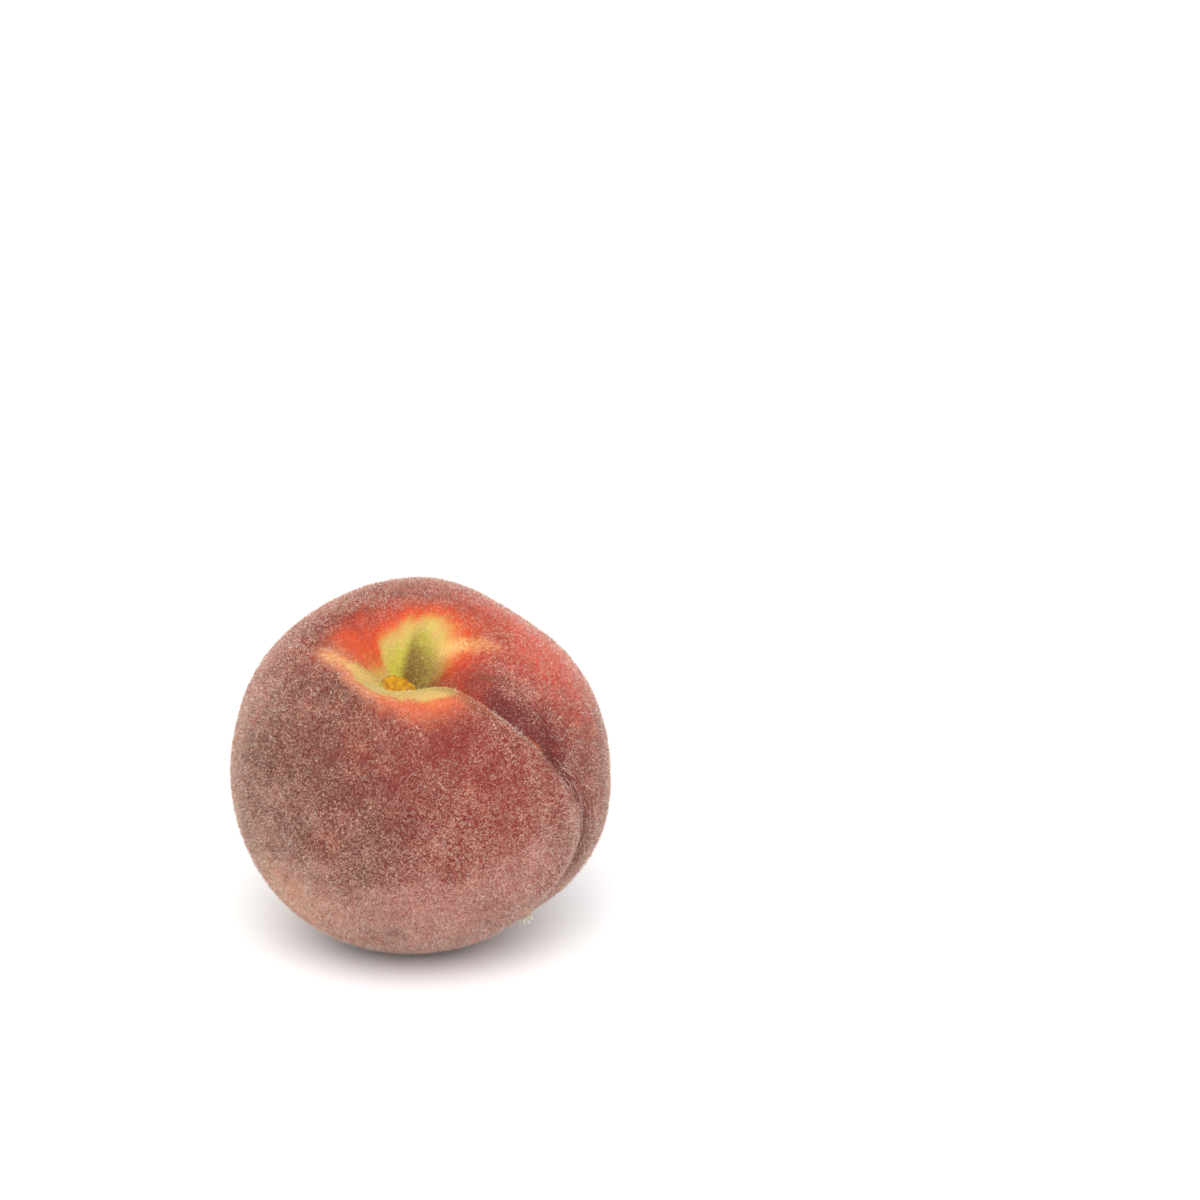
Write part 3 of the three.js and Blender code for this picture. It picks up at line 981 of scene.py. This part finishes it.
def scar_material():
    n = Nodes("stem_scar")
    coarse, fine = n.noise(1.1, 3, 0.6), n.noise(0.35, 2, 0.6)
    colour = n.mix(n.step(coarse, 0.35, 0.65), SCAR_BROWN, SCAR_OCHRE)
    colour = n.mix(n.times(n.step(fine, 0.58, 0.72), 0.3), colour, SCAR_PALE)
    rim = n.stir(n.value("edge"), fine, 0.5)
    colour = n.mix(n.step(rim, 0.8, 0.98), colour, SCAR_CORK)
    n.put(n.shader.inputs["Base Color"], colour)
    n.put(n.shader.inputs["Specular IOR Level"], 0.3)
    n.put(n.shader.inputs["Roughness"], n.spread(coarse, 0.4, 0.7))
    bump = n.add("Bump", {"Strength": 0.6, "Distance": 0.1 * MM, "Height": fine})
    n.put(n.shader.inputs["Normal"], bump.outputs[0])
    return n.material


def make_scar():
    """A crinkled button with a corky rim, closed below and sunk into the cavity's floor."""
    rings, spokes = SCAR_RINGS, SCAR_SPOKES
    t = (np.arange(rings) + 1) / rings
    turn = np.linspace(0, 2 * math.pi, spokes, endpoint=False)
    t, turn = np.meshgrid(t, turn, indexing="ij")
    outline = 1
    for count, start, share in SCAR_WAVINESS:
        outline = outline + share * np.sin(count * turn + start)
    outline = SCAR_BUTTON * outline
    x, y = t * outline * np.cos(turn), t * outline * np.sin(turn)
    spots = np.stack([x, y, 0 * x], -1).reshape(-1, 3)
    crinkle = sum(tall * waves(spots, seed, size) for seed, size, tall in SCAR_CRINKLES)
    crinkle = crinkle.reshape(x.shape)
    folds = SCAR_FOLD_HEIGHT * np.sin(SCAR_FOLDS * turn + 2 * np.sin(3 * turn))
    folds = folds * smoothstep(*SCAR_FOLD_STARTS, t)
    skirt = smoothstep(SCAR_EDGE, 1, t)
    rim = SCAR_RIM_HEIGHT * bell(t - SCAR_RIM_AT, SCAR_RIM_REACH)
    rim = rim * (1 + 0.3 * np.sin(4 * turn + 1))
    height = SCAR_SWELL * (1 - t**2) + rim + crinkle + folds * (1 - smoothstep(0.93, 1, t))
    height = height * (1 - skirt) - SCAR_SKIRT * skirt
    middle = skin_points(TO_STEM[None])[0] - (SCAR_DOME - SCAR_SUNK) * TO_STEM
    spread = [a.ravel()[:, None] for a in (x, y, height)]
    rim_points = middle + spread[0] * TO_SUTURE + spread[1] * TO_FAR + spread[2] * TO_STEM
    top = middle + (SCAR_SWELL + crinkle[0].mean()) * TO_STEM
    bottom = middle - SCAR_BASE * TO_STEM
    index = np.arange(rings * spokes).reshape(rings, spokes)
    a, b = index[:-1], index[1:]
    a_next, b_next = np.roll(a, -1, 1), np.roll(b, -1, 1)
    centre, under = rings * spokes, rings * spokes + 1
    first, last = index[0], index[-1]
    faces = [
        np.stack([a, b, b_next], -1).reshape(-1, 3),
        np.stack([a, b_next, a_next], -1).reshape(-1, 3),
        np.stack([np.full(spokes, centre), first, np.roll(first, -1)], -1),
        np.stack([np.full(spokes, under), np.roll(last, -1), last], -1),
    ]
    edge = np.append(t.ravel(), [0, 1])
    scar_points, faces = np.vstack([rim_points, top, bottom]), np.vstack(faces)
    return make_object("stem_scar", scar_points, faces, scar_material(), {"edge": edge})


TIP_HAIRS, TIP_LENGTHS, TIP_HAIR_WIDTH, TIP_COLOUR = 44, (0.9, 2.3), 0.13, srgb(250, 240, 218)
TIP_SPREAD, TIP_ASTRAY, TIP_SUNK = 0.7, 0.7, 0.1


def make_tuft(rng):
    """The dried remains of the blossom: a small star of stiff hairs at the tip."""
    root = skin_points(TIP_WAY[None])[0]
    spread = rng.normal(size=(TIP_HAIRS, 3)) * TIP_SPREAD
    roots = root + spread - (spread @ TIP_WAY)[:, None] * TIP_WAY - TIP_SUNK * TIP_WAY
    directions = unit(TIP_WAY + TIP_ASTRAY * rng.normal(size=(TIP_HAIRS, 3)))
    lengths = rng.uniform(*TIP_LENGTHS, TIP_HAIRS)
    outward = np.repeat(TIP_WAY[None], TIP_HAIRS, 0)
    hairs = bent_hairs(rng, roots, directions, outward, lengths, TIP_HAIR_WIDTH)
    return make_object("tip_tuft", *hairs, down_material("tip_tuft", TIP_COLOUR))


FIBRES, FIBRE_SEGMENTS, FIBRE_WIDTH, FIBRE_TAPER = 44, 12, 0.045, 0.75
FIBRE_STARTS, FIBRE_SPANS = (66, 102), (4, 10)  # degrees along the seam
FIBRE_ASIDE, FIBRE_DRIFT, FIBRE_BOW = 3.4, 2.2, 0.6  # degrees across it
FIBRE_LIFTS, FIBRE_COLOUR = (0.15, 0.55), srgb(236, 214, 194)


def make_fibres(rng):
    """Long loose fibres that lie over the seam."""
    segments, sides = FIBRE_SEGMENTS, 3
    points_made, faces_made = [], []
    for _ in range(FIBRES):
        start, span = rng.uniform(*FIBRE_STARTS) * DEG, rng.uniform(*FIBRE_SPANS) * DEG
        aside, drift = rng.normal(0, FIBRE_ASIDE) * DEG, rng.normal(0, FIBRE_DRIFT) * DEG
        t = np.linspace(0, 1, segments + 1)
        along = start + span * (t - 0.5)
        bow = rng.normal(0, FIBRE_BOW) * DEG
        off = aside + drift * (t - 0.5) + bow * np.sin(math.pi * t)
        ways_here = fruit_direction(along, crease_aside(along) + off)
        lift = rng.uniform(*FIBRE_LIFTS) * np.sin(math.pi * t)
        line = skin_points(ways_here) + lift[:, None] * ways_here
        tangent = unit(np.gradient(line, axis=0))
        one = unit(np.cross(tangent, ways_here))
        two = np.cross(tangent, one)
        size = FIBRE_WIDTH / 2 * (1 - FIBRE_TAPER * t)[:, None]
        ring = ring_of_three(line, size, one, two)
        base = sum(len(made) for made in points_made)
        points_made.append(np.stack(ring, 1).reshape(-1, 3))
        for i in range(segments):
            for k in range(sides):
                j = (k + 1) % sides
                a, b = base + i * sides + k, base + i * sides + j
                faces_made += [(a, b, b + sides), (a, b + sides, a + sides)]
        end = base + segments * sides
        faces_made += [(base, base + 2, base + 1), (end, end + 1, end + 2)]
    material = down_material("loose_fibres", FIBRE_COLOUR)
    return make_object("loose_fibres", np.vstack(points_made), np.array(faces_made), material)


TUFT_SEED, FIBRE_SEED = 21, 22


for piece in (
    make_scar(),
    make_tuft(np.random.default_rng(TUFT_SEED)),
    make_fibres(np.random.default_rng(FIBRE_SEED)),
):
    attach(piece, "root")


# ---- Floor, light and camera -----------------------------------------------------------------

CAMERA_HEIGHT = 20  # degrees above level
CAMERA_DISTANCE = 0.8
PIXELS = 1200
FRUIT_PIXELS = 378  # the fruit's width in the picture
FRUIT_AT = (418, 762)  # where the middle of the fruit is in the picture
FRUIT_WIDTH = 72
FRAME_WIDTH = FRUIT_WIDTH * MM * PIXELS / FRUIT_PIXELS
SENSOR = 36
CLIP_NEAR, CLIP_FAR = 0.01, 50
FLOOR_WIDTH = 6.0
KEY_HEADING, KEY_HEIGHT, KEY_DISTANCE, KEY_SIZE, KEY_POWER = -88, 48, 1.2, 1.0, 12
SKY_STRENGTH = 1.0


def make_camera():
    rise = CAMERA_HEIGHT * DEG
    right = Vector((1, 0, 0))
    up = Vector((0, math.sin(rise), math.cos(rise)))
    back = Vector((0, -math.cos(rise), math.sin(rise)))
    data = bpy.data.cameras.new("camera")
    data.sensor_width = SENSOR
    data.lens = SENSOR * CAMERA_DISTANCE / FRAME_WIDTH
    camera = bpy.data.objects.new("camera", data)
    bpy.context.scene.collection.objects.link(camera)
    pixel = FRAME_WIDTH / PIXELS
    aim = Vector(MOVE * MM)
    aim += right * (PIXELS / 2 - FRUIT_AT[0]) * pixel + up * (FRUIT_AT[1] - PIXELS / 2) * pixel
    camera.location = aim + back * CAMERA_DISTANCE
    camera.rotation_mode = "QUATERNION"
    camera.rotation_quaternion = (-back).to_track_quat("-Z", "Y")
    data.clip_start, data.clip_end = CLIP_NEAR, CLIP_FAR
    bpy.context.scene.camera = camera


def make_floor():
    corners = np.array([(-1, -1, 0), (1, -1, 0), (1, 1, 0), (-1, 1, 0)]) * FLOOR_WIDTH / 2 / MM
    faces = np.array([(0, 1, 2), (0, 2, 3)])
    floor = make_object("floor", corners, faces, floor_material())


def make_light(name, heading, height, distance, size, power):
    data = bpy.data.lights.new(name, "AREA")
    data.shape, data.size, data.energy = "DISK", size, power
    light = bpy.data.objects.new(name, data)
    bpy.context.scene.collection.objects.link(light)
    way = Vector(heading_vector(heading, height))
    light.location = way * distance
    light.rotation_mode = "QUATERNION"
    light.rotation_quaternion = way.to_track_quat("Z", "Y")


def make_world():
    world = bpy.data.worlds.new("studio")
    world.use_nodes = True
    back = world.node_tree.nodes["Background"]
    back.inputs["Color"].default_value = (1, 1, 1, 1)
    back.inputs["Strength"].default_value = SKY_STRENGTH
    bpy.context.scene.world = world


make_camera()
make_floor()
make_world()
make_light("key", KEY_HEADING, KEY_HEIGHT, KEY_DISTANCE, KEY_SIZE, KEY_POWER)
bpy.context.scene.view_settings.view_transform = "Standard"
